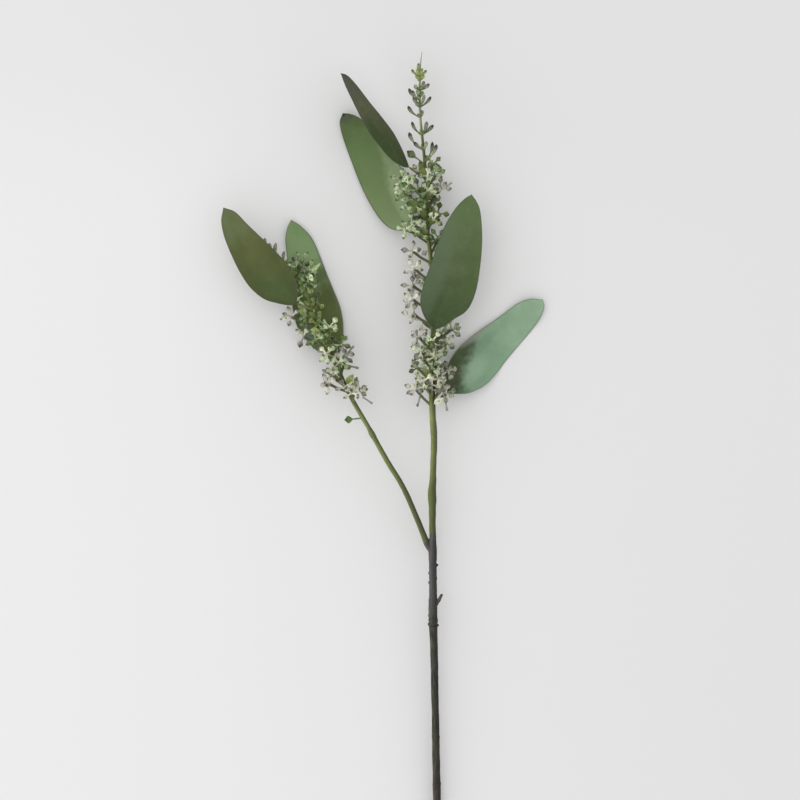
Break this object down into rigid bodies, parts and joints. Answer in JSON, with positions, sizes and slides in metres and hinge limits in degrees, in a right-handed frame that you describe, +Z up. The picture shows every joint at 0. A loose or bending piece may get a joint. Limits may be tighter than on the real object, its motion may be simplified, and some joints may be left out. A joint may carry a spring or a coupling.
{
  "type": "eucalyptus gum nut sprig",
  "caption": "Cut sprig of seeded eucalyptus lying down: a dark woody stem forks into two green sprays of stalked bud clusters with long oval leaves.",
  "frame": {"origin": "centre of the bounding box at its base, on the surface that the sprig lies on", "axes": "+Y along the stem from the cut end to the tip, +X to the right of the sprig seen from above, +Z up from the surface that it lies on"},
  "size_m": [0.2264, 0.58, 0.0324],
  "materials": {
    "bark": "matte, finely ridged",
    "green_shoot": "matte, with a pale waxy bloom on the buds",
    "leaf": "matte, waxy"
  },
  "bodies": {
    "root": {"woody_stem": "bark", "main_spray": "green_shoot", "side_spray": "green_shoot", "leaf_1": "leaf", "leaf_2": "leaf", "leaf_3": "leaf", "leaf_4": "leaf", "leaf_5": "leaf", "leaf_6": "leaf"}
  },
  "joints": []
}
